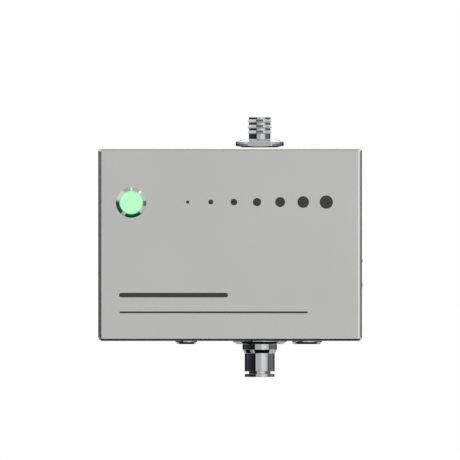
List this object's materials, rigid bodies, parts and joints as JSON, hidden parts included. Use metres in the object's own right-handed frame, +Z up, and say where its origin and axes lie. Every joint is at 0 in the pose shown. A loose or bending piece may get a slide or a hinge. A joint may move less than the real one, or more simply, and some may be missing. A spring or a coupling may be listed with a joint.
{
  "type": "airborne particle counter",
  "caption": "Wall-mounted remote particle counter: bead-blasted metal box with a barbed sample inlet on top, a push-in vacuum outlet and cable sockets below, and a green status lamp.",
  "frame": {"origin": "centre of the rear plate's outer face, the face that is fastened to the wall bracket", "axes": "+Z up, towards the sample inlet; -Y towards the front face with the lamp; +Y out of the back; +X to the right seen from the front"},
  "size_m": [0.1273, 0.058, 0.1252],
  "materials": {
    "housing_metal": "fine bead-blasted and clear anodised",
    "plated_metal": "bright nickel-chrome plating on turned brass",
    "steel": "plain stainless steel",
    "brass": "turned brass",
    "contact_gold": "gold plated",
    "seal_rubber": "moulded nitrile rubber",
    "black_anodised": "dull black anodising",
    "lamp_green": "frosted lens, lit mint green",
    "black_plastic": "moulded glass-filled nylon",
    "white_plastic": "moulded nylon",
    "board_green": "solder mask on glass-epoxy",
    "capacitor_can": "drawn can",
    "cell_metal": "gold-flashed can with a window",
    "mirror_coat": "front-silvered dish",
    "lens_glass": "polished",
    "orifice_ruby": "synthetic ruby",
    "lead_sheath": "flexible PVC"
  },
  "bodies": {
    "counter": {"beam_lens": "lens_glass", "beam_trap": "black_anodised", "block_gasket": "seal_rubber", "board_capacitors": "capacitor_can", "board_chips": "black_plastic", "board_plugs": "white_plastic", "board_screws": "steel", "board_standoffs": "brass", "collector_jet": "steel", "collet_guide": "steel", "data_lead": "lead_sheath", "data_socket_contacts": "contact_gold", "data_socket_insert": "black_plastic", "data_socket_nut": "steel", "data_socket_seal": "seal_rubber", "data_socket_shell": "plated_metal", "detector_board": "board_green", "detector_cell": "cell_metal", "detector_connector": "black_plastic", "detector_screws": "steel", "exhaust_tube": "steel", "flow_orifice": "orifice_ruby", "flow_sensor": "black_plastic", "front_housing": "housing_metal", "inlet_fitting": "plated_metal", "inlet_jet": "steel", "inlet_seal": "seal_rubber", "lamp_bezel": "plated_metal", "lamp_emitter": "black_plastic", "lamp_lead": "lead_sheath", "lamp_lens": "lamp_green", "lamp_nut": "steel", "lamp_seal": "seal_rubber", "laser_barrel": "brass", "laser_diode": "cell_metal", "laser_lead": "lead_sheath", "light_mirror": "mirror_coat", "main_board": "board_green", "mirror_cap": "black_anodised", "mount_inserts": "steel", "optics_block": "black_anodised", "outlet_body": "plated_metal", "outlet_nut": "steel", "outlet_seal": "seal_rubber", "power_lead": "lead_sheath", "power_socket_contacts": "contact_gold", "power_socket_insert": "black_plastic", "power_socket_nut": "steel", "power_socket_seal": "seal_rubber", "power_socket_shell": "plated_metal", "rear_gasket": "seal_rubber", "rear_plate": "housing_metal", "rear_plate_screws": "steel", "sensor_bracket": "steel", "sensor_lead": "lead_sheath", "side_screws": "steel", "tap_hoses": "seal_rubber", "tube_seal": "seal_rubber"},
    "release_ring": {"release_ring": "plated_metal"}
  },
  "joints": [
    {"name": "release_ring_slide", "type": "slide", "parent": "counter", "child": "release_ring", "axis": [0, 0, 1], "range_m": [0, 0.001]}
  ]
}
